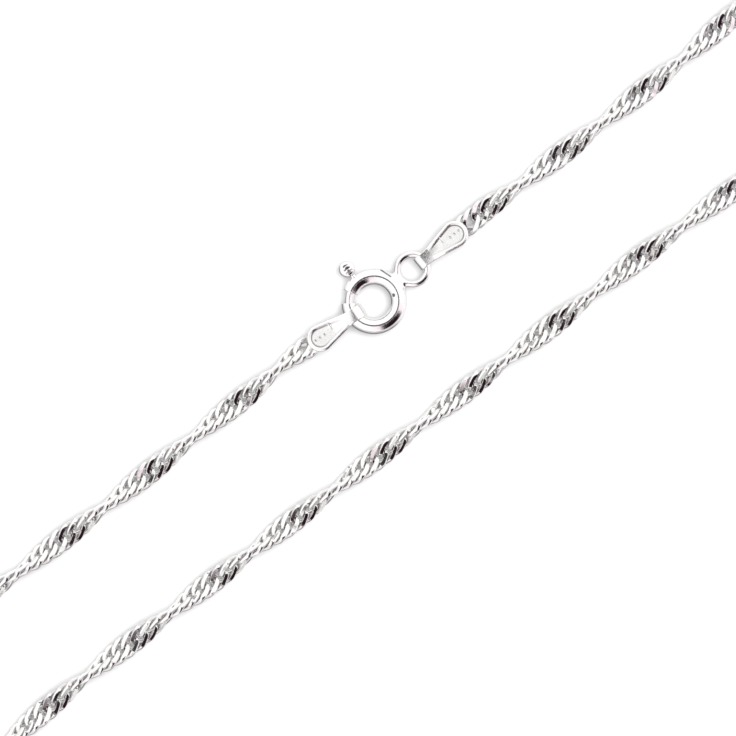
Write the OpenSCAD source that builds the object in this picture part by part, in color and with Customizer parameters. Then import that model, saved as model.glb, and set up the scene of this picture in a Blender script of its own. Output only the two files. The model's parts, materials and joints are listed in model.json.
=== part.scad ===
// Necklace of twisted curb chain, closed by a spring ring and lying on a surface.
// Millimetres, +Z up. The chain's two runs lie along X, and the surface is at Z = 0.
// The origin is under the middle of the whole loop.

/* [Chain] */
// Width of the twisted chain
chain_w = 2.2; // [1.8:0.1:2.4]
// Thickness of one flat link
chain_t = 0.8; // [0.6:0.1:1]

/* [Spring ring] */
// Outside diameter of the spring ring
clasp_d = 6.05; // [5.5:0.05:7]
// Outside diameter of its bent tube
tube_d = 1.45; // [1.3:0.05:1.6]
// Wall of the tube
tube_wall = 0.25; // [0.2:0.05:0.3]
// Opening between the two ends of the tube, in degrees
gap_turn = 25; // [22:1:28]
// Height of the slot that the thumb lever slides in
slot_h = 0.6; // [0.5:0.05:0.7]

/* [Bolt] */
// Clearance all round the bolt in its tube
bolt_clear = 0.1; // [0.05:0.01:0.12]
// How far the closed bolt enters the far end of the tube, in degrees
bolt_seat = 8; // [4:1:10]
// How far the lever slides to open the clasp, in degrees
bolt_travel = 36; // [34:1:40]
// Diameter of the lever's thumb knob
knob_d = 1.5; // [1.2:0.1:1.6]
// Height of the thumb knob
knob_h = 1; // [0.8:0.1:1.2]
// Diameter of the lever's stem
stem_d = 0.45; // [0.3:0.05:0.45]

/* [Eye ring] */
// Outside diameter of the closed ring soldered to the spring ring
eye_d = 3.35; // [3:0.05:3.8]
// Wire of the closed ring
eye_wire = 0.6; // [0.5:0.05:0.7]

/* [End tags] */
// Length of a tag from the middle of its fold to its round end
tag_reach = 5; // [4.6:0.1:6]
// Width of a tag at its round end
tag_w = 2.5; // [2.2:0.1:3]
// Width of the strip where it folds round its ring
neck_w = 1.24; // [1:0.02:1.3]
// Thickness of the folded strip
strip_t = 0.25; // [0.2:0.05:0.3]
// Thickness of the tag's plate
plate_t = 0.3; // [0.25:0.05:0.4]
// Width of the raised rim round the plate
rim_w = 0.38; // [0.3:0.02:0.5]
// Height of the raised rim over the plate
rim_h = 0.12; // [0.08:0.02:0.2]
// Clearance between a fold and the ring in it
fold_clear = 0.08; // [0.06:0.01:0.12]

/* [Hidden] */
$fn = 64;

// How far a cut runs past a face, and how deep one solid is set into another that it is fused to.
cut = 0.2;
bite = 0.05;

// The clasp's centre in plan, and the directions from it, in degrees from +X.
clasp_at = [4.2, 5.8];
gap_at = 122;
knob_at = 93;
eye_at = 3;
clasp_tag_at = 177.4;
eye_tag_at = 2.5;

// Spring ring and bolt.
ring_r = (clasp_d - tube_d) / 2;
tube_r = tube_d / 2;
bore_r = tube_r - tube_wall;
bolt_r = bore_r - bolt_clear;
gap_end = gap_at + gap_turn;
bolt_back = 30;
knob_gap = 0.12;
knob_r = ring_r + tube_r + knob_gap + knob_d / 2;
stem_turn = asin((stem_d / 2 + bolt_clear) / (ring_r + bore_r));
knob_edge = 0.15;
groove_w = 0.14;
groove_d = 0.1;
groove_pitch = 0.38;

// Closed ring and the solder in the two corners beside it.
eye_r = (eye_d - eye_wire) / 2;
eye_x = ring_r + tube_r + eye_d / 2 - bite;
solder_r = 0.25;
solder_h = 0.5;

// A tag's fold has to clear a wire that curves away under the strip's width.
function sag(r) = r - sqrt(r * r - pow(neck_w / 2, 2));
function fold_in(r, wire_r) = wire_r + sag(r) / 2 + fold_clear;
clasp_fold = fold_in(ring_r, tube_r);
eye_fold = fold_in(eye_r, eye_wire / 2);

// Heights: the big fold and the chain both lie on the surface, and the tags sit on the chain's last links.
lie_h = clasp_fold + strip_t;
chain_r = chain_w / 2;
link_gap = 0.1;
plate_z = chain_r + chain_t / 2 + link_gap;

// Plan of a tag: its flare starts here, and its legs meet the plate here, from the middle of the fold.
flare_x = 0.6;
upper_leg_x = 2;
lower_leg_x = 2.4;
face_x = 1.5;
mark_d = 0.3;
mark_deep = 0.1;
mark_pitch = 0.5;

// The chain's end lies flat under the plate this far, and is at its full width this far beyond it.
chain_under = 1.3;
chain_flat = 0.5;
chain_full = 2.6;

// Way of the chain round the loop, from the eye's tag to the clasp's tag, chosen by hand.
ROUTE = [[21, 6.3], [31, 6.3], [42, 6.6], [55, 7.8], [68, 9.8], [81, 12], [93, 12.2], [103, 8.4],
    [107.5, 0], [103, -8.4], [93, -12.2], [81, -12], [68, -9.8], [55, -7.4], [42, -6.2], [29, -5.8],
    [15, -5.9], [1, -5.9], [-13, -5.9], [-27, -5.9], [-41, -6], [-54, -7.1], [-67, -9.4], [-80, -12],
    [-92, -12.2], [-103, -8.4], [-107.5, 0], [-103, 8.4], [-92, 12.2], [-80, 12], [-67, 9.2],
    [-54, 6.8], [-41, 5.7], [-28, 5.6], [-17, 5.8], [-9, 6]];
SIDES = 8;
STEPS = 2;

function turned(r, a) = [r * cos(a), r * sin(a)];
fold_clasp = clasp_at + turned(ring_r - sag(ring_r) / 2, clasp_tag_at);
eye_mid = clasp_at + turned(eye_x, eye_at);
fold_eye = eye_mid + turned(eye_r - sag(eye_r) / 2, eye_tag_at);

// A point on the smooth curve through b and c, at share t of the way from b to c.
function between(a, b, c, d, t) = 0.5 * (2 * b + (c - a) * t + (2 * a - 5 * b + 4 * c - d) * t * t
    + (3 * b - a - 3 * c + d) * t * t * t);

// Where the chain's centre lies at a distance past a tag's round end.
function past_tag(fold, a, along) = fold + turned(tag_reach + along, a);
head = [for (along = [-chain_under, chain_flat, chain_full]) past_tag(fold_eye, eye_tag_at, along)];
tail = [for (along = [chain_full, chain_flat, -chain_under]) past_tag(fold_clasp, clasp_tag_at, along)];
knots = concat([head[1], head[2]], ROUTE, [tail[0], tail[1]]);
body = [for (i = [1:len(knots) - 3], k = [0:STEPS - 1])
    between(knots[i - 1], knots[i], knots[i + 1], knots[i + 2], k / STEPS)];
path = concat([head[0], head[1]], body, tail);
last = len(path) - 1;

// Share of its full height that the chain has at each ring, flat where it is soldered.
flat_share = chain_t / chain_w;
function height_share(i) = i < 2 || i > last - 2 ? flat_share : 1;

// One ring of the tube, square to the path.
function ring_points(i) =
    let (way = path[min(i + 1, last)] - path[max(i - 1, 0)])
    let (side = [-way.y, way.x] / norm(way))
    let (corner = chain_r / cos(180 / SIDES))
    [for (k = [0:SIDES - 1])
        let (a = 360 * (k + 0.5) / SIDES)
        [path[i].x + side.x * corner * cos(a), path[i].y + side.y * corner * cos(a),
            chain_r + corner * sin(a) * height_share(i)]];

module chain() {
    skin = [for (i = [0:last - 1], k = [0:SIDES - 1])
        [i * SIDES + k, i * SIDES + (k + 1) % SIDES, (i + 1) * SIDES + (k + 1) % SIDES, (i + 1) * SIDES + k]];
    start_cap = [[for (k = [SIDES - 1:-1:0]) k]];
    end_cap = [[for (k = [0:SIDES - 1]) last * SIDES + k]];
    color("gainsboro")
        polyhedron([for (i = [0:last]) each ring_points(i)], concat(skin, start_cap, end_cap));
}

module at_clasp() {
    translate([clasp_at.x, clasp_at.y, lie_h])
        children();
}

module bent_rod(r, rod_r, from, turn) {
    rotate([0, 0, from])
        rotate_extrude(angle = turn)
            translate([r, 0])
                circle(rod_r);
}

// Solder drawn into both corners between the spring ring and the closed ring.
module solder() {
    ring_out = ring_r + tube_r - bite / 2 + solder_r;
    eye_out = eye_d / 2 - bite / 2 + solder_r;
    x = (ring_out * ring_out - eye_out * eye_out + eye_x * eye_x) / (2 * eye_x);
    y = sqrt(ring_out * ring_out - x * x);
    on_ring = [x, y] * (1 - solder_r / ring_out);
    on_eye = [x, y] + ([eye_x, 0] - [x, y]) * solder_r / eye_out;
    rotate([0, 0, eye_at])
        linear_extrude(solder_h, center = true)
            difference() {
                polygon([on_ring, [x, y], on_eye, [on_eye.x, -on_eye.y], [x, -y], [on_ring.x, -on_ring.y]]);
                translate([x, y])
                    circle(solder_r);
                translate([x, -y])
                    circle(solder_r);
            }
}

module spring_ring() {
    slot_turn = bolt_travel + 2 * stem_turn;
    color("silver")
        at_clasp()
            difference() {
                union() {
                    bent_rod(ring_r, tube_r, gap_end, 360 - gap_turn);
                    rotate([0, 0, eye_at])
                        translate([eye_x, 0, 0])
                            rotate_extrude()
                                translate([eye_r, 0])
                                    circle(eye_wire / 2);
                    solder();
                }
                bent_rod(ring_r, bore_r, gap_end - gap_turn / 4, 360 - gap_turn / 2);
                rotate([0, 0, knob_at - bolt_travel - stem_turn])
                    rotate_extrude(angle = slot_turn)
                        translate([ring_r, -slot_h / 2])
                            square([tube_r + cut, slot_h]);
            }
}

module knob() {
    difference() {
        rotate_extrude()
            polygon([[0, -knob_h / 2], [knob_d / 2 - knob_edge, -knob_h / 2], [knob_d / 2, knob_edge - knob_h / 2],
                [knob_d / 2, knob_h / 2 - knob_edge], [knob_d / 2 - knob_edge, knob_h / 2], [0, knob_h / 2]]);
        for (i = [-1:1])
            translate([i * groove_pitch - groove_w / 2, -knob_d / 4, knob_h / 2 - groove_d])
                cube([groove_w, knob_d / 2, groove_d + cut]);
    }
}

module ring_bolt() {
    tip = gap_end + bolt_seat;
    back = knob_at - bolt_back;
    color("silver")
        at_clasp()
            union() {
                bent_rod(ring_r, bolt_r, back, tip - back);
                rotate([0, 0, knob_at])
                    translate([ring_r, 0, 0])
                        rotate([0, 90, 0])
                            cylinder(h = knob_r - ring_r, d = stem_d);
                rotate([0, 0, knob_at])
                    translate([knob_r, 0, 0])
                        knob();
            }
}

// Drop shape in plan, set in from the tag's edge all round, from x to the round end.
module drop(x, inset) {
    r = tag_w / 2 - inset;
    mid = tag_reach - tag_w / 2;
    half = neck_w / 2 - inset;
    reach = mid - x;
    away = norm([reach, half]);
    a = 180 - atan2(half, reach) - acos(r / away);
    touch = [mid + r * cos(a), r * sin(a)];
    translate([mid, 0])
        circle(r);
    polygon([[x, half], touch, [mid, 0], [touch.x, -touch.y], [x, -half]]);
}

// Side view of the strip: round the ring, then down on to the plate and up under it.
module strip_profile(fold, level) {
    out = fold + strip_t;
    mean = fold + strip_t / 2;
    top_h = level + plate_t / 2;
    slope_top = asin(mean / norm([upper_leg_x, top_h])) - atan2(top_h, upper_leg_x);
    slope_low = asin(mean / norm([lower_leg_x, top_h])) + atan2(top_h, lower_leg_x);
    way_top = [cos(slope_top), -sin(slope_top)];
    up_top = [sin(slope_top), cos(slope_top)];
    way_low = [cos(slope_low), sin(slope_low)];
    up_low = [sin(slope_low), -cos(slope_low)];
    long_top = (upper_leg_x - mean * sin(slope_top)) / cos(slope_top);
    long_low = (lower_leg_x - mean * sin(slope_low)) / cos(slope_low);
    hair = bite / 5;
    difference() {
        circle(out);
        circle(fold);
        polygon([[0, 0], up_top * 2 * out, [2 * out, 0], up_low * 2 * out]);
    }
    polygon([up_top * (fold + hair) - way_top * bite, up_top * (out - hair) - way_top * bite,
        up_top * (out - hair) + way_top * long_top, up_top * (fold + hair) + way_top * long_top]);
    polygon([up_low * (fold + hair) - way_low * bite, up_low * (out - hair) - way_low * bite,
        up_low * (out - hair) + way_low * long_low, up_low * (fold + hair) + way_low * long_low]);
    translate([upper_leg_x - bite * 2, level])
        square([tag_reach - upper_leg_x + bite * 2, plate_t]);
}

// End tag: a strip folded round its ring, with a drop-shaped plate, a raised rim and three plain pips.
module end_tag(fold) {
    level = plate_z - lie_h;
    tall = 3 * lie_h;
    difference() {
        union() {
            intersection() {
                rotate([90, 0, 0])
                    linear_extrude(tag_w + cut, center = true)
                        strip_profile(fold, level);
                linear_extrude(tall, center = true)
                    union() {
                        translate([-tall, -neck_w / 2])
                            square([tall + flare_x + bite, neck_w]);
                        drop(flare_x, 0);
                    }
            }
            translate([0, 0, level + plate_t - bite])
                linear_extrude(rim_h + bite)
                    difference() {
                        intersection() {
                            drop(flare_x, 0);
                            translate([upper_leg_x, -tag_w])
                                square([tag_reach, 2 * tag_w]);
                        }
                        drop(face_x, rim_w);
                    }
        }
        for (i = [0:2])
            translate([tag_reach - tag_w / 2 - i * mark_pitch + mark_pitch / 2, 0, level + plate_t - mark_deep])
                cylinder(h = mark_deep + cut, d = mark_d);
    }
}

module clasp_tag() {
    color("whitesmoke")
        translate([fold_clasp.x, fold_clasp.y, lie_h])
            rotate([0, 0, clasp_tag_at])
                end_tag(clasp_fold);
}

module eye_tag() {
    color("whitesmoke")
        translate([fold_eye.x, fold_eye.y, lie_h])
            rotate([0, 0, eye_tag_at])
                end_tag(eye_fold);
}

chain();
spring_ring();
ring_bolt();
clasp_tag();
eye_tag();
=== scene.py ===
import json
import math

import bpy
import numpy as np
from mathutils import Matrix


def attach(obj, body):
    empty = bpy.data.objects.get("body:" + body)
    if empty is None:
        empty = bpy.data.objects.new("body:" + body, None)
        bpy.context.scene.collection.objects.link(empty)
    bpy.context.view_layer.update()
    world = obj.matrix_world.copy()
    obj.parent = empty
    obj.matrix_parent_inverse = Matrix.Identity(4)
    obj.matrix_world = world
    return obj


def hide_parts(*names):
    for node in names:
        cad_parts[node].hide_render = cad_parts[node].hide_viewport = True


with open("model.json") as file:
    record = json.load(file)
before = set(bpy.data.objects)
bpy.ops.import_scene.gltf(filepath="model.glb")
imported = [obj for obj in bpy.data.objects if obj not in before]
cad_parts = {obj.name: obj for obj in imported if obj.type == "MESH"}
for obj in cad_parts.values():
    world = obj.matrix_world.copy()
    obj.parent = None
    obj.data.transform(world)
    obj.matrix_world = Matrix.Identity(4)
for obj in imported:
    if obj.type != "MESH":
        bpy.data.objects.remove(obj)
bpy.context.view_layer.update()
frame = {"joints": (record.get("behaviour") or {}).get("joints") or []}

scene = bpy.context.scene
scene.view_settings.view_transform = "Standard"

# Camera. It hangs straight over the clasp with a long lens, and is rolled so that the two runs
# cross the square picture from the lower left to the upper right.
PICTURE_W = 0.06815
LENS_MM, SENSOR_MM = 300, 36
ROLL = math.radians(37)
AIM = (0.00004, 0.00121, 0.0011)
camera_data = bpy.data.cameras.new("camera")
camera_data.lens = LENS_MM
camera_data.sensor_width = SENSOR_MM
camera = bpy.data.objects.new("camera", camera_data)
camera.location = (AIM[0], AIM[1], AIM[2] + PICTURE_W * LENS_MM / SENSOR_MM)
camera.rotation_euler = (0, 0, -ROLL)
scene.collection.objects.link(camera)
scene.camera = camera


# Light. One bright white tent all round, with the lens's dark round beside the top, a dark card on one
# side and a dimmer rim near the floor. Polished silver shows them as its dark strokes and grey lines.
class Socket:
    """One output of a node tree, for use in Python expressions."""

    def __init__(self, tree, out=None):
        self.tree = tree
        self.out = out

    def node(self, kind, settings=None, inputs=None, out=0):
        made = self.tree.nodes.new(kind)
        for name, value in (settings or {}).items():
            setattr(made, name, value)
        for name, value in (inputs or {}).items():
            if isinstance(value, Socket):
                self.tree.links.new(value.out, made.inputs[name])
            else:
                made.inputs[name].default_value = value
        return Socket(self.tree, made.outputs[out])

    def math(self, operation, a, b=0.0):
        return self.node("ShaderNodeMath", {"operation": operation}, {0: a, 1: b})

    def __add__(self, other):
        return self.math("ADD", self, other)

    def __radd__(self, other):
        return self.math("ADD", other, self)

    def __sub__(self, other):
        return self.math("SUBTRACT", self, other)

    def __rsub__(self, other):
        return self.math("SUBTRACT", other, self)

    def __mul__(self, other):
        return self.math("MULTIPLY", self, other)

    def __rmul__(self, other):
        return self.math("MULTIPLY", other, self)

    def __truediv__(self, other):
        return self.math("DIVIDE", self, other)

    def __pow__(self, other):
        return self.math("POWER", self, other)

    def soft(self, low, high):
        """0 below low, 1 above high and smooth between."""
        return self.node(
            "ShaderNodeMapRange",
            {"interpolation_type": "SMOOTHSTEP"},
            {"Value": self, "From Min": low, "From Max": high},
        )

    def blend(self, first, second):
        """The first colour where this mask is 0 and the second where it is 1."""
        inputs = {"Factor": self, 6: first, 7: second}
        return self.node("ShaderNodeMix", {"data_type": "RGBA"}, inputs, 2)


# Directions are counted from +X. A fade is the pair of heights, or of cosines, between which it runs.
TENT = 1.12
WHITE = (1, 1, 1, 1)
CARD_AT, CARD_OUT, CARD_IN = math.radians(-85), math.radians(32.5), math.radians(17.5)
CARD_FOOT, CARD_TOP = (0.1, 0.24), (0.9925, 0.9976)
CARD_COLOUR = (0.018, 0.008, 0.012, 1)
HALO_SIDE, HALO_FOOT = (0.45, 0.9), (0.1, 0.4)
HALO_COLOUR = (0.96, 0.84, 0.89, 1)
LENS_AT, LENS_OFF = math.radians(65), math.radians(6)
LENS_OUT, LENS_IN = math.radians(10.64), math.radians(8.36)
LENS_DARK = 0.965
DIM_AT, DIM_SIDE = math.radians(-157), (-0.1, 0.45)
DIM_RIM, DIM_RIM_FADE = 0.34, (-0.2, 0.35)
DIM_LOW, DIM_LOW_FADE = 0.44, (-0.8, -0.1)
UNDER_DIM, UNDER_FADE = 0.22, (-0.9, 0.0)


def toward(angle):
    """How far a ray leans this way: the level part of its cosine with the direction."""
    return ray_x * math.cos(angle) + ray_y * math.sin(angle)


world = bpy.data.worlds.new("tent")
world.use_nodes = True
world.node_tree.nodes.clear()
start = Socket(world.node_tree)
ray = start.node("ShaderNodeTexCoord", out="Generated")
ray_x = start.node("ShaderNodeSeparateXYZ", {}, {"Vector": ray}, "X")
ray_y = start.node("ShaderNodeSeparateXYZ", {}, {"Vector": ray}, "Y")
ray_z = start.node("ShaderNodeSeparateXYZ", {}, {"Vector": ray}, "Z")
level = (ray_x ** 2 + ray_y ** 2 + 0.0001) ** 0.5
toward_card = toward(CARD_AT) / level
card = toward_card.soft(math.cos(CARD_OUT), math.cos(CARD_IN))
card = card * ray_z.soft(*CARD_FOOT) * (1 - ray_z.soft(*CARD_TOP))
toward_lens = toward(LENS_AT) * math.sin(LENS_OFF) + ray_z * math.cos(LENS_OFF)
lens = toward_lens.soft(math.cos(LENS_OUT), math.cos(LENS_IN))
dim = DIM_RIM * (1 - ray_z.soft(*DIM_RIM_FADE)) + DIM_LOW * (1 - ray_z.soft(*DIM_LOW_FADE))
dim = dim * (toward(DIM_AT) / level).soft(*DIM_SIDE)
under = 1 - ray_z.soft(*UNDER_FADE)
strength = TENT * (1 - LENS_DARK * lens) * (1 - dim) * (1 - UNDER_DIM * under)
halo = toward_card.soft(*HALO_SIDE) * ray_z.soft(*HALO_FOOT)
glow = card.blend(halo.blend(WHITE, HALO_COLOUR), CARD_COLOUR)
background = start.node("ShaderNodeBackground", {}, {"Color": glow, "Strength": strength})
output = world.node_tree.nodes.new("ShaderNodeOutputWorld")
world.node_tree.links.new(background.out, output.inputs["Surface"])
scene.world = world

# Floor. A plain pale sheet under everything, which isn't part of the necklace. The silver doesn't
# mirror it, so that the edges of the pieces stay grey against it. A round softbox overhead, a little
# to the right, brings it to white but for the soft shade along each piece. The silver doesn't show it.
FLOOR_HALF = 1.5
FLOOR_COLOUR = (0.55, 0.55, 0.55, 1)
SOFTBOX_AT, SOFTBOX_TILT = (0.16, -0.06, 0.8), (0.075, 0.2, 0)
SOFTBOX_WIDE, SOFTBOX_WATTS = 0.8, 12
corners = [(x * FLOOR_HALF, y * FLOOR_HALF, 0) for x, y in ((-1, -1), (1, -1), (1, 1), (-1, 1))]
floor_mesh = bpy.data.meshes.new("floor")
floor_mesh.from_pydata(corners, [], [(0, 1, 2, 3)])
floor = bpy.data.objects.new("floor", floor_mesh)
scene.collection.objects.link(floor)
floor.visible_glossy = False
pale_sheet = bpy.data.materials.new("pale_sheet")
pale_sheet.use_nodes = True
for name, value in (("Base Color", FLOOR_COLOUR), ("Roughness", 0.9), ("Specular IOR Level", 0.0)):
    pale_sheet.node_tree.nodes["Principled BSDF"].inputs[name].default_value = value
floor_mesh.materials.append(pale_sheet)
softbox_data = bpy.data.lights.new("softbox", "AREA")
softbox_data.shape = "DISK"
softbox_data.size = SOFTBOX_WIDE
softbox_data.energy = SOFTBOX_WATTS
softbox = bpy.data.objects.new("softbox", softbox_data)
softbox.location = SOFTBOX_AT
softbox.rotation_euler = SOFTBOX_TILT
softbox.visible_glossy = False
scene.collection.objects.link(softbox)


# Silver. Polished sterling silver: nearly white, with hairline scratches from wear and a faint warm bloom,
# and painted shade: a dark colour laid into the creases, hollows and inner faces where shade falls, which
# each mesh marks on its own points.
# Scales are counts a metre. Polish, hairline and bloom are what each adds to the roughness.
CLOUD_SCALE, GRAIN_SCALE, HAIR_SCALE, HAIR_LONG = 900, 16000, 5000, 14
# The last colour is painted shade: near-black, laid in the creases, hollows and inner faces where shade
# falls.
CLEAN_SILVER, WARM_SILVER, PAINTED_SHADE = (0.965, 0.96, 0.955, 1), (0.93, 0.915, 0.90, 1), (0.10, 0.085, 0.09, 1)
GRAIN_ROUGH, PAINTED_SHADE_ROUGH, HAIR_DEEP, SCRATCH_DEPTH = 0.02, 0.3, 1.5, 0.00001


def silver(name, polish, hairline, bloom):
    material = bpy.data.materials.new(name)
    material.use_nodes = True
    tree = material.node_tree
    shader = tree.nodes["Principled BSDF"]
    shader.inputs["Metallic"].default_value = 1.0
    at = Socket(tree)
    place = at.node("ShaderNodeTexCoord", out="Object")
    cloud = at.node("ShaderNodeTexNoise", {}, {"Vector": place, "Scale": CLOUD_SCALE, "Detail": 3}, "Fac")
    grain = at.node("ShaderNodeTexNoise", {}, {"Vector": place, "Scale": GRAIN_SCALE, "Detail": 2}, "Fac")
    skew = {"Vector": place, "Rotation": (0.3, 0.2, 0.7), "Scale": (1, HAIR_LONG, 1)}
    skew = at.node("ShaderNodeMapping", {}, skew)
    hair = at.node("ShaderNodeTexNoise", {}, {"Vector": skew, "Scale": HAIR_SCALE, "Detail": 2}, "Fac")
    hair = hair.soft(0.56, 0.72)
    # Painted shade: each mesh's marked points turn towards the near-black colour and get rougher.
    shade_mask = at.node("ShaderNodeAttribute", {"attribute_name": "painted_shade"}, {}, "Fac")
    shade_mask = shade_mask * (0.75 + 0.5 * cloud)
    silver_tone = cloud.soft(0.35, 0.75).blend(CLEAN_SILVER, WARM_SILVER)
    colour = shade_mask.blend(silver_tone, PAINTED_SHADE)
    rough = polish + (cloud - 0.5) * bloom + hair * hairline
    rough = rough + grain * GRAIN_ROUGH + shade_mask * PAINTED_SHADE_ROUGH
    scratches = {"Strength": HAIR_DEEP * hairline, "Distance": SCRATCH_DEPTH, "Height": hair + grain * 0.5}
    bump = at.node("ShaderNodeBump", {}, scratches)
    tree.links.new(colour.out, shader.inputs["Base Color"])
    tree.links.new(rough.out, shader.inputs["Roughness"])
    tree.links.new(bump.out, shader.inputs["Normal"])
    return material


# Stores for each point how much painted shade the silver puts on it.
def mark_painted_shade(mesh, amounts):
    layer = mesh.attributes.new("painted_shade", "FLOAT", "POINT")
    layer.data.foreach_set("value", np.clip(amounts, 0, 1).astype(np.float32))


wire_silver = silver("wire_silver", 0.06, 0.03, 0.03)
tube_silver = silver("tube_silver", 0.05, 0.06, 0.03)
tag_silver = silver("tag_silver", 0.17, 0.10, 0.06)

# Clasp's plan. The lever's hinge gives the spring ring's centre; the other sizes are the real ones,
# in millimetres, and each direction is counted from +X.
MM = 0.001
PIVOT = np.array(frame["joints"][0]["pos_m"]) / MM
RING_R = 2.3
TUBE_R = 0.725
BORE_R = 0.475
GAP_AT, GAP_END = math.radians(122), math.radians(147)
EYE_R, EYE_WIRE_R = 1.375, 0.3
EYE_AT = math.radians(3)
EYE_X = RING_R + TUBE_R + EYE_R + EYE_WIRE_R - 0.05
STRIP_T, NECK_W, FOLD_CLEAR = 0.25, 1.24, 0.08
CLASP_TAG_AT, EYE_TAG_AT = math.radians(177.4), math.radians(2.5)
TAG_REACH = 5.0


def turned(r, a):
    return np.array([r * math.cos(a), r * math.sin(a)])


def sag(r):
    return r - math.sqrt(r * r - (NECK_W / 2) ** 2)


eye_mid = PIVOT[:2] + turned(EYE_X, EYE_AT)
fold_clasp = PIVOT[:2] + turned(RING_R - sag(RING_R) / 2, CLASP_TAG_AT)
fold_eye = eye_mid + turned(EYE_R - sag(EYE_R) / 2, EYE_TAG_AT)

# Chain. Sterling silver links of round wire, each soldered shut, hooked through the next two on
# either side, twisted into a right-handed band and cut flat on both faces so that they sparkle.
CHAIN_R = 1.1
# A link's wire keeps within these lengths of its middle, along, across and above the band. The cutter's
# plane lies CUT_HIGH above that middle, leaning a little, and a cut ends where the wire's side is UNCUT.
LINK_LONG, LINK_WIDE, LINK_CURL = 1.295, 0.875, 0.25
POINTED, LEVEL = 0.07, 0.111
WIRE_R = 0.225
CUT_HIGH = 0.286
TWIST = math.pi / 10
LEANING = math.radians(-3)
UNCUT = math.radians(84)
LINK_PITCH = 1.03
WAY_STEPS, WIRE_STEPS, SIDE_STEPS = 24, 48, 3
WIRE_SIDES = 4 + 2 * SIDE_STEPS
CHAIN_UNDER, CHAIN_FLAT, CHAIN_FULL = 1.3, 0.5, 2.6
# Painted shade on the links: a trace everywhere, and up to the second amount on the wire's inner faces.
BARE, INNER_SHADE = 0.02, 0.3
ROUTE = [(21, 6.3), (31, 6.3), (42, 6.6), (55, 7.8), (68, 9.8), (81, 12), (93, 12.2), (103, 8.4),
    (107.5, 0), (103, -8.4), (93, -12.2), (81, -12), (68, -9.8), (55, -7.4), (42, -6.2), (29, -5.8),
    (15, -5.9), (1, -5.9), (-13, -5.9), (-27, -5.9), (-41, -6), (-54, -7.1), (-67, -9.4), (-80, -12),
    (-92, -12.2), (-103, -8.4), (-107.5, 0), (-103, 8.4), (-92, 12.2), (-80, 12), (-67, 9.2),
    (-54, 6.8), (-41, 5.7), (-28, 5.6), (-17, 5.8), (-9, 6)]
# Where the band lies flat, by X along the plain run and along the clasp's run on each side of it.
FLAT_CLASP_RIGHT = (17.0, 26.0, 35.8, 45.0)
FLAT_PLAIN = (36.4, 26.1, 15.6, 5.8, -4.4, -14.3, -23.5, -33.0, -43.0)
FLAT_CLASP_LEFT = (-32.3, -22.2, -11.6, -2.3)
HALF_TURN = 10.0


def between(a, b, c, d, t):
    """The point a share t of the way from b to c, on the smooth curve through all four."""
    square = (2 * a - 5 * b + 4 * c - d) * t * t
    cube = (3 * b - a - 3 * c + d) * t ** 3
    return 0.5 * (2 * b + (c - a) * t + square + cube)


def past_tag(fold, direction, along):
    return fold + turned(TAG_REACH + along, direction)


head = [past_tag(fold_eye, EYE_TAG_AT, along) for along in (-CHAIN_UNDER, CHAIN_FLAT, CHAIN_FULL)]
tail = [past_tag(fold_clasp, CLASP_TAG_AT, along) for along in (CHAIN_FULL, CHAIN_FLAT, -CHAIN_UNDER)]
knots = [np.array(point, float) for point in [head[1], head[2], *ROUTE, tail[0], tail[1]]]
way = [head[0], head[1]]
for i in range(1, len(knots) - 2):
    for step in range(WAY_STEPS):
        way.append(between(*knots[i - 1:i + 3], step / WAY_STEPS))
way = np.array(way + tail)
way_at = np.r_[0, np.cumsum(np.linalg.norm(np.diff(way, axis=0), axis=1))]
chain_long = way_at[-1]
turn_at = way_at[np.argmax(way[:, 0])], way_at[np.argmin(way[:, 0])]


def along_way(x, low, high):
    """Distance along the chain at which it crosses x, between the distances low and high."""
    part = (way_at >= low) & (way_at <= high)
    xs, ss = way[part, 0], way_at[part]
    order = np.argsort(xs)
    return float(np.interp(x, xs[order], ss[order]))


right = [along_way(x, 0, turn_at[0]) for x in FLAT_CLASP_RIGHT]
plain = [along_way(x, *turn_at) for x in FLAT_PLAIN]
left = [along_way(x, turn_at[1], chain_long) for x in FLAT_CLASP_LEFT]
flats = list(right)
for group in (plain, left):
    hidden = round((group[0] - flats[-1]) / HALF_TURN)
    flats += list(np.linspace(flats[-1], group[0], hidden + 1)[1:-1]) + list(group)

link_end = LINK_LONG + WIRE_R
link_count = 1 + round((chain_long - 2 * link_end) / LINK_PITCH)
link_at = np.linspace(link_end, chain_long - link_end, link_count)

# One link, before it is twisted with its neighbours. Its wire runs slantwise across the near face and back
# across the far one, and the cutter has taken a narrow flat off each slant. Shade is painted on its inner
# faces.
turn = np.linspace(0, 2 * math.pi, WIRE_STEPS, endpoint=False)
centre = np.stack([
    LINK_LONG * (np.cos(turn) + POINTED * np.cos(3 * turn)) / (1 + POINTED),
    LINK_WIDE * (np.sin(turn) - POINTED * np.sin(3 * turn)) / (1 + POINTED),
    -LINK_CURL * (np.sin(2 * turn) + LEVEL * np.sin(6 * turn)) / (1 - LEVEL),
], 1)
run = np.roll(centre, -1, 0) - np.roll(centre, 1, 0)
run /= np.linalg.norm(run, axis=1)[:, None]
lean = TWIST * centre[:, 0]
high = centre[:, 1] * np.sin(lean) + centre[:, 2] * np.cos(lean)
rise = np.stack([0 * lean, np.sin(lean + LEANING), np.cos(lean + LEANING)], 1)
rise -= run * (rise * run).sum(1)[:, None]
steep = np.linalg.norm(rise, axis=1)
rise /= steep[:, None]
side = np.cross(run, rise)


def cut_angle(facing):
    """Angle round the wire at which a cut's edge lies, for the near or the far cut."""
    return np.arcsin(np.clip((CUT_HIGH - facing * high) / (WIRE_R * steep), 0, math.sin(UNCUT)))


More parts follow.
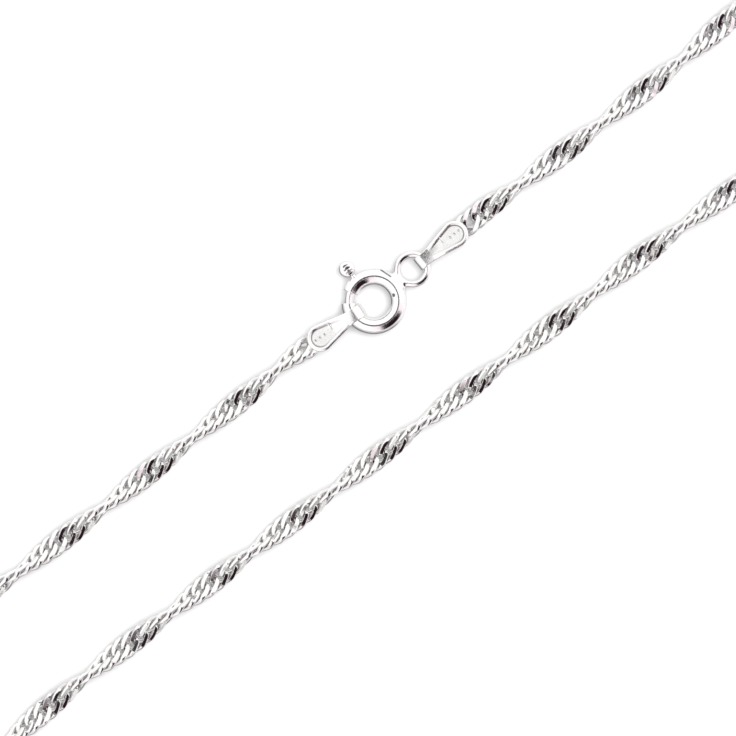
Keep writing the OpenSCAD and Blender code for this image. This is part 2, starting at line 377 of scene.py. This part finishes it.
top_cut, low_cut = cut_angle(1), cut_angle(-1)
share = np.arange(1, SIDE_STEPS + 1) / (SIDE_STEPS + 1)
down = top_cut[:, None] + share * (-low_cut - top_cut)[:, None]
around = np.concatenate([
    math.pi - top_cut[:, None], top_cut[:, None], down, -low_cut[:, None],
    math.pi + low_cut[:, None], math.pi - down[:, ::-1],
], 1)
link = centre[:, None] + WIRE_R * (
    np.cos(around)[:, :, None] * side[:, None] + np.sin(around)[:, :, None] * rise[:, None]
)
# Painted shade: the sides of the wire that face into the link, between its near and far faces, are darkened
# for the shade in the openings.
inside = -np.sin(around) * np.clip(centre[:, 2:] / (0.5 * LINK_CURL), -1, 1) * rise[:, 2:]
inside = BARE + INNER_SHADE * np.clip(1.5 * inside + 0.1, 0, 1).ravel()
link = link.reshape(-1, 3)
cut_rim = np.zeros((WIRE_STEPS, WIRE_SIDES), bool)
cut_rim[:, [0, 1]] = (top_cut < UNCUT)[:, None]
cut_rim[:, [SIDE_STEPS + 2, SIDE_STEPS + 3]] = (low_cut < UNCUT)[:, None]
cut_rim = cut_rim.ravel()
ring_i, side_i = np.meshgrid(np.arange(WIRE_STEPS), np.arange(WIRE_SIDES), indexing="ij")
next_i, next_s = (ring_i + 1) % WIRE_STEPS, (side_i + 1) % WIRE_SIDES
link_faces = np.stack([
    ring_i * WIRE_SIDES + side_i, ring_i * WIRE_SIDES + next_s,
    next_i * WIRE_SIDES + next_s, next_i * WIRE_SIDES + side_i,
], -1).reshape(-1, 4)


def way_point(s):
    return np.stack([np.interp(s, way_at, way[:, 0]), np.interp(s, way_at, way[:, 1])], 2)


def link_run(name, chosen):
    """One piece of the chain: the chosen links, each bent and twisted to its place along the way."""
    s_at = link_at[chosen][:, None] + link[None, :, 0]
    ahead = way_point(s_at + 0.5) - way_point(s_at - 0.5)
    ahead /= np.linalg.norm(ahead, axis=2)[:, :, None]
    middle = way_point(s_at)
    phi = math.pi * np.interp(s_at, flats, np.arange(len(flats)))
    out = np.cos(phi) * link[None, :, 1] - np.sin(phi) * link[None, :, 2]
    points = np.stack([
        middle[:, :, 0] - ahead[:, :, 1] * out,
        middle[:, :, 1] + ahead[:, :, 0] * out,
        CHAIN_R + np.sin(phi) * link[None, :, 1] + np.cos(phi) * link[None, :, 2],
    ], 2)
    faces = link_faces[None] + (np.arange(len(points)) * len(link))[:, None, None]
    mesh = bpy.data.meshes.new(name)
    mesh.from_pydata((points.reshape(-1, 3) * MM).tolist(), [], faces.reshape(-1, 4).tolist())
    mesh.shade_smooth()
    ends = np.empty(2 * len(mesh.edges), int)
    mesh.edges.foreach_get("vertices", ends)
    sharp = np.tile(cut_rim, len(points))[ends.reshape(-1, 2)].all(1)
    mesh.attributes.new("sharp_edge", "BOOLEAN", "EDGE").data.foreach_set("value", sharp)
    mark_painted_shade(mesh, np.tile(inside, len(points)))
    mesh.materials.append(wire_silver)
    piece = bpy.data.objects.new(name, mesh)
    scene.collection.objects.link(piece)
    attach(piece, "necklace")
    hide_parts("chain")


near_eye, opposite, near_clasp = np.array_split(np.arange(link_count), 3)
link_run("links_near_eye", near_eye)
link_run("links_opposite", opposite)
link_run("links_near_clasp", near_clasp)


# Spring ring. A silver tube bent round, open at the gap and slotted for the lever, with a small closed
# ring soldered to its outside: the solder has run into the corners between the two.
def blend_min(a, b, k):
    h = np.clip(0.5 + 0.5 * (b - a) / k, 0, 1)
    return b + (a - b) * h - k * h * (1 - h)


def blend_max(a, b, k):
    return -blend_min(-a, -b, k)


def slope(field, points, reach):
    parts = []
    for axis in range(3):
        step = np.zeros(3)
        step[axis] = reach
        parts.append((field(*(points + step).T) - field(*(points - step).T)) / (2 * reach))
    return np.stack(parts, 1)


def solid_skin(name, field, shade_mask, low, high, cell):
    """Mesh of the surface where field(x, y, z) is nought, in millimetres about the spring ring's centre.
    crease(x, y, z) is how much painted shade a point gets, from 0 to 1."""
    axes = [np.arange(lo, hi + cell, cell) for lo, hi in zip(low, high)]
    value = field(*np.meshgrid(*axes, indexing="ij"))
    inside = value < 0
    count = np.zeros(tuple(n - 1 for n in value.shape), int)
    for i in (0, 1):
        for j in (0, 1):
            for k in (0, 1):
                count += inside[i:i + count.shape[0], j:j + count.shape[1], k:k + count.shape[2]]
    active = (count > 0) & (count < 8)
    cells = np.argwhere(active)
    number = np.full(count.shape, -1)
    number[active] = np.arange(len(cells))
    total = np.zeros((len(cells), 3))
    hits = np.zeros(len(cells))
    for axis in range(3):
        other = [a for a in range(3) if a != axis]
        for i in (0, 1):
            for j in (0, 1):
                corner = cells.copy()
                corner[:, other[0]] += i
                corner[:, other[1]] += j
                after = corner.copy()
                after[:, axis] += 1
                a, b = value[tuple(corner.T)], value[tuple(after.T)]
                cross = (a < 0) != (b < 0)
                share = np.where(cross, a / np.where(cross, a - b, 1), 0)
                point = corner.astype(float)
                point[:, axis] += share
                total += point * cross[:, None]
                hits += cross
    points = np.array([axis[0] for axis in axes]) + cell * total / hits[:, None]
    for _ in range(4):
        g = slope(field, points, cell / 8)
        points -= (field(*points.T) / np.maximum((g * g).sum(1), 0.1))[:, None] * g
    faces = []
    for axis in range(3):
        b, c = (axis + 1) % 3, (axis + 2) % 3
        first = [slice(None)] * 3
        first[axis] = slice(0, -1)
        second = [slice(None)] * 3
        second[axis] = slice(1, None)
        changed = np.argwhere(inside[tuple(first)] != inside[tuple(second)])
        leaving = inside[tuple(first)][tuple(changed.T)]
        quad = []
        for db, dc in ((-1, -1), (0, -1), (0, 0), (-1, 0)):
            at = changed.copy()
            at[:, b] += db
            at[:, c] += dc
            quad.append(number[tuple(at.T)])
        quad = np.stack(quad, 1)
        quad[~leaving] = quad[~leaving][:, ::-1]
        faces.append(quad)
    faces = np.concatenate(faces)
    normals = slope(field, points, cell / 8)
    normals /= np.linalg.norm(normals, axis=1)[:, None]
    mesh = bpy.data.meshes.new(name)
    mesh.from_pydata(((points + PIVOT) * MM).tolist(), [], faces.tolist())
    mesh.shade_smooth()
    mesh.normals_split_custom_set_from_vertices(normals.tolist())
    mark_painted_shade(mesh, shade_mask(*points.T))
    piece = bpy.data.objects.new(name, mesh)
    scene.collection.objects.link(piece)
    return piece


EDGE = 0.05
SOLDER = 0.6
STEP_FROM, STEP_TO = turned(2.97, math.radians(41)), turned(2.75, math.radians(19))
STEP_HALF, STEP_DEEP = 0.05, 0.06
CRIMP_AT, CRIMP_TILT, CRIMP_R = math.radians(-19.5), math.radians(35), 0.14
# How dark the painted shade is in the bore, the solder corners, along the filed step and in the dent.
BORE_SHADE, CORNER_SHADE, STEP_SHADE, DENT_SHADE = 0.5, 0.25, 0.9, 0.8
TUBE_CELL, MARGIN = 0.05, 0.15
KNOB_AT = math.radians(93)
TRAVEL = math.radians(36)
SLOT_H = 0.6
STEM_R = 0.225
STEM_TURN = math.asin((STEM_R + 0.1) / (RING_R + BORE_R))


def bent_rod(x, y, z, ring_r, rod_r):
    return np.hypot(np.hypot(x, y) - ring_r, z) - rod_r


def near(distance, reach):
    """1 where a distance is nought, fading to 0 at reach."""
    return np.clip(1 - np.abs(distance) / reach, 0, 1)


def past(x, y, angle):
    """How far a point lies anticlockwise of the line from the centre at this angle."""
    return -x * math.sin(angle) + y * math.cos(angle)


def solder_edge(x, y):
    """Distance from the short step at which the solder of the closed ring was filed flush."""
    run_x, run_y = STEP_TO - STEP_FROM
    dx, dy = x - STEP_FROM[0], y - STEP_FROM[1]
    t = np.clip((dx * run_x + dy * run_y) / (run_x ** 2 + run_y ** 2), 0, 1)
    return np.hypot(dx - run_x * t, dy - run_y * t)


def crimp(x, y, z):
    """Distance from the middle of the dent that holds the spring's end inside the tube."""
    cx, cy = turned(RING_R - TUBE_R * math.sin(CRIMP_TILT), CRIMP_AT)
    return np.sqrt((x - cx) ** 2 + (y - cy) ** 2 + (z - TUBE_R * math.cos(CRIMP_TILT)) ** 2)


def closed_ring(x, y, z):
    ex, ey = turned(EYE_X, EYE_AT)
    return bent_rod(x - ex, y - ey, z, EYE_R, EYE_WIRE_R)


def spring_ring_field(x, y, z):
    metal = blend_min(bent_rod(x, y, z, RING_R, TUBE_R), closed_ring(x, y, z), SOLDER)
    stepped = blend_max(metal, np.minimum(STEP_HALF - solder_edge(x, y), metal + STEP_DEEP), 0.03)
    metal = np.where(z > 0, stepped, metal)
    metal = blend_max(metal, CRIMP_R - crimp(x, y, z), 0.04)
    metal = blend_max(metal, -bent_rod(x, y, z, RING_R, BORE_R), EDGE)
    gap = blend_max(-past(x, y, GAP_AT), past(x, y, GAP_END), EDGE)
    slot = np.maximum(-past(x, y, KNOB_AT - TRAVEL - STEM_TURN), past(x, y, KNOB_AT + STEM_TURN))
    slot = np.maximum(slot, np.abs(z) - SLOT_H / 2)
    slot = np.maximum(slot, RING_R - np.hypot(x, y))
    return blend_max(blend_max(metal, -gap, EDGE), -slot, EDGE)


# Painted shade on the spring ring: darker in the bore, the corners at the closed ring, along the filed step
# and round the dent, where shade falls.
def spring_ring_shade(x, y, z):
    inside_tube = near(bent_rod(x, y, z, RING_R, BORE_R), 0.08)
    corner = near(bent_rod(x, y, z, RING_R, TUBE_R), 0.25) * near(closed_ring(x, y, z), 0.25)
    step = near(solder_edge(x, y), 0.09) * (z > 0)
    dent = near(crimp(x, y, z) - CRIMP_R, 0.06)
    return np.max([
        BORE_SHADE * inside_tube, CORNER_SHADE * corner, STEP_SHADE * step, DENT_SHADE * dent,
    ], axis=0)


reach = RING_R + TUBE_R + MARGIN
ring = solid_skin(
    "spring_ring_tube",
    spring_ring_field,
    spring_ring_shade,
    (-reach, -reach, -TUBE_R - MARGIN),
    (EYE_X + EYE_R + EYE_WIRE_R + MARGIN, reach, TUBE_R + MARGIN),
    TUBE_CELL,
)
ring.data.materials.append(tube_silver)
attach(ring, "necklace")
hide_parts("spring_ring")

# Bolt. A bent silver wire that slides inside the tube and closes the gap, with a stem through the
# slot and a round thumb knob, cut with three plain grip grooves.
BOLT_R = 0.375
BOLT_BACK = math.radians(63)
BOLT_TIP = math.radians(155)
KNOB_R, KNOB_H, KNOB_X = 0.75, 1.0, 3.895
KNOB_CROWN, KNOB_ROUND = 0.13, 0.34
GROOVE_PITCH, GROOVE_W, GROOVE_D, GROOVE_HALF = 0.34, 0.12, 0.035, 0.315
# How dark the painted shade in the grip grooves is.
GROOVE_SHADE = 0.1
BOLT_LOW, BOLT_HIGH, BOLT_CELL = (-3.0, 0.3, -0.7), (1.6, KNOB_X + KNOB_R + MARGIN, 0.7), 0.035


def grip_grooves(x, y, z):
    out = x * math.cos(KNOB_AT) + y * math.sin(KNOB_AT)
    nearest = np.round(np.clip((out - KNOB_X) / GROOVE_PITCH, -1, 1)) * GROOVE_PITCH
    across = np.abs(past(x, y, KNOB_AT)) - GROOVE_HALF
    groove = np.maximum(np.abs(out - KNOB_X - nearest) - GROOVE_W / 2, across)
    return np.maximum(groove, KNOB_H / 2 - GROOVE_D - z)


def bolt_field(x, y, z):
    middle = (BOLT_BACK + BOLT_TIP) / 2
    half = (BOLT_TIP - BOLT_BACK) / 2
    angle = np.arctan2(past(x, y, middle), x * math.cos(middle) + y * math.sin(middle))
    angle = np.clip(angle, -half, half) + middle
    rod = np.sqrt((x - RING_R * np.cos(angle)) ** 2 + (y - RING_R * np.sin(angle)) ** 2 + z * z) - BOLT_R
    out = x * math.cos(KNOB_AT) + y * math.sin(KNOB_AT)
    off = past(x, y, KNOB_AT)
    stem = np.sqrt((out - np.clip(out, RING_R, KNOB_X)) ** 2 + off * off + z * z) - STEM_R
    crown = KNOB_CROWN * ((out - KNOB_X) ** 2 + off ** 2) / KNOB_R ** 2
    knob = blend_max(np.hypot(out - KNOB_X, off) - KNOB_R, np.abs(z) - KNOB_H / 2 + crown, KNOB_ROUND)
    knob = blend_max(knob, -grip_grooves(x, y, z), 0.06)
    return blend_min(blend_min(rod, stem, 0.1), knob, 0.12)


# Painted shade in the grip grooves.
def bolt_shade(x, y, z):
    return GROOVE_SHADE * near(grip_grooves(x, y, z), 0.05)


bolt = solid_skin("lever_and_bolt", bolt_field, bolt_shade, BOLT_LOW, BOLT_HIGH, BOLT_CELL)
bolt.data.materials.append(tube_silver)
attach(bolt, "bolt")
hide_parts("ring_bolt")

# End tags. A flat silver strip folded round its ring and closed under a drop-shaped plate, pressed
# with a raised bead all round and three plain pips. The chain's last link is soldered under it.
# The plate lies a little rolled about its own length, by ROLLED across its width.
TAG_HALF, PLATE_T, BEAD_W, BEAD_H = 1.25, 0.3, 0.42, 0.1
PLATE_Z = CHAIN_R + 0.5 - PIVOT[2]
PLATE_MID = TAG_REACH - TAG_HALF
FLARE_X, UPPER_LEG_X, LOWER_LEG_X = 0.6, 2.0, 2.4
BEAD_FROM, BEAD_FULL = 0.9, 2.0
PIP_R, PIP_PITCH, PIP_DEEP = 0.15, 0.5, 0.08
PAD_X, PAD_LONG, PAD_HALF = 4.15, 0.5, 0.6
ROLLED = 0.15
# The first is how dark the painted shade round the pips is.
PIP_SHADE, TAG_CELL = 0.55, 0.045


def drop_edge(x, y):
    """Distance outside the drop-shaped plan of a tag, from the middle of its fold."""
    neck_half = NECK_W / 2
    long = PLATE_MID - FLARE_X
    lean = math.pi - math.atan2(neck_half, long) - math.acos(TAG_HALF / math.hypot(long, neck_half))
    px, py = x - PLATE_MID, np.abs(y)
    along = px * math.sin(lean) - py * math.cos(lean)
    flare = np.where(along > 0, np.hypot(px, py), px * math.cos(lean) + py * math.sin(lean)) - TAG_HALF
    return blend_min(np.maximum(py - neck_half, x - 2 * FLARE_X), flare, 0.08)


def bead(x, y):
    """Height of the raised bead, and how near its inner foot is."""
    in_bead = 1 + 2 * drop_edge(x, y) / BEAD_W
    fade = np.clip((x - BEAD_FROM) / (BEAD_FULL - BEAD_FROM), 0, 1)
    foot = near(in_bead + 1, 0.45) * fade
    return BEAD_H * fade * np.clip(1 - in_bead ** 2, 0, 1), foot


def pips(x, y):
    nearest = np.round(np.clip((x - PLATE_MID) / PIP_PITCH, -1, 1)) * PIP_PITCH
    return np.hypot(x - PLATE_MID - nearest, y) / PIP_R


def tag_field(fold_in, rolled):
    mean = fold_in + STRIP_T / 2
    top_z = PLATE_Z + PLATE_T
    steep = math.asin(mean / math.hypot(LOWER_LEG_X, PLATE_Z)) + math.atan2(PLATE_Z, LOWER_LEG_X)
    leg_from = (mean * math.sin(steep), -mean * math.cos(steep))
    leg_to = (LOWER_LEG_X, PLATE_Z + STRIP_T / 2)

    def field(x, y, z):
        share = np.clip(x / LOWER_LEG_X, 0, 1)
        share = share ** 2 * (3 - 2 * share)
        top = fold_in + STRIP_T + (top_z - fold_in - STRIP_T) * share
        top = top + rolled * y * np.clip(x / UPPER_LEG_X, 0, 1)
        thick = STRIP_T + (PLATE_T - STRIP_T) * share
        relief = bead(x, y)[0] - PIP_DEEP * np.clip(1 - pips(x, y) ** 2, 0, 1)
        upper = np.maximum(np.maximum(z - top - relief, top - thick - z), -x)
        wedge = x * math.cos(steep) + z * math.sin(steep)
        wedge = np.where(z > 0, x - 0.02, wedge)
        arc = np.maximum(np.abs(np.hypot(x, z) - mean) - STRIP_T / 2, wedge)
        dx, dz = leg_to[0] - leg_from[0], leg_to[1] - leg_from[1]
        t = np.clip(((x - leg_from[0]) * dx + (z - leg_from[1]) * dz) / (dx * dx + dz * dz), 0, 1)
        lower = np.hypot(x - leg_from[0] - dx * t, z - leg_from[1] - dz * t) - STRIP_T / 2
        pad = np.hypot((x - PAD_X) / PAD_LONG, y / PAD_HALF) - 1
        pad = np.maximum(pad, PLATE_Z - 0.16 - z) * PAD_LONG
        pad = np.maximum(pad, z - PLATE_Z - 0.1)
        strip = blend_min(np.minimum(upper, arc), lower, 0.06)
        return blend_max(blend_min(strip, pad, 0.1), drop_edge(x, y), 0.07)

    return field


# Painted shade on the plate's top: along the inner foot of the bead, stronger towards the round end, and
# round each pip.
def tag_shade(x, y, z):
    foot = bead(x, y)[1] * np.clip((x - 2.6) / 1.6, 0.25, 1)
    stamped = np.maximum(foot, PIP_SHADE * near(pips(x, y) - 0.55, 0.45))
    return stamped * (z > PLATE_Z + PLATE_T / 2)


def end_tag(name, node, fold_in, fold_at, direction, rolled):
    local = tag_field(fold_in, rolled)
    off = fold_at - PIVOT[:2]
    c, s = math.cos(direction), math.sin(direction)

    def to_tag(x, y):
        px, py = x - off[0], y - off[1]
        return px * c + py * s, py * c - px * s

    ends = np.array([off + turned(-fold_in - STRIP_T, direction), off + turned(TAG_REACH, direction)])
    low = ends.min(0) - MARGIN - np.array([0, TAG_HALF])
    high = ends.max(0) + MARGIN + np.array([0, TAG_HALF])
    rolled_top = PLATE_Z + PLATE_T + BEAD_H + ROLLED * TAG_HALF
    piece = solid_skin(
        name,
        lambda x, y, z: local(*to_tag(x, y), z),
        lambda x, y, z: tag_shade(*to_tag(x, y), z),
        (low[0], low[1], -fold_in - STRIP_T - 0.1),
        (high[0], high[1], max(fold_in + STRIP_T, rolled_top) + 0.1),
        TAG_CELL,
    )
    piece.data.materials.append(tag_silver)
    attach(piece, "necklace")
    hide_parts(node)


fold_in_clasp = TUBE_R + sag(RING_R) / 2 + FOLD_CLEAR
fold_in_eye = EYE_WIRE_R + sag(EYE_R) / 2 + FOLD_CLEAR
end_tag("tag_on_clasp", "clasp_tag", fold_in_clasp, fold_clasp, CLASP_TAG_AT, ROLLED)
end_tag("tag_on_eye", "eye_tag", fold_in_eye, fold_eye, EYE_TAG_AT, -ROLLED)
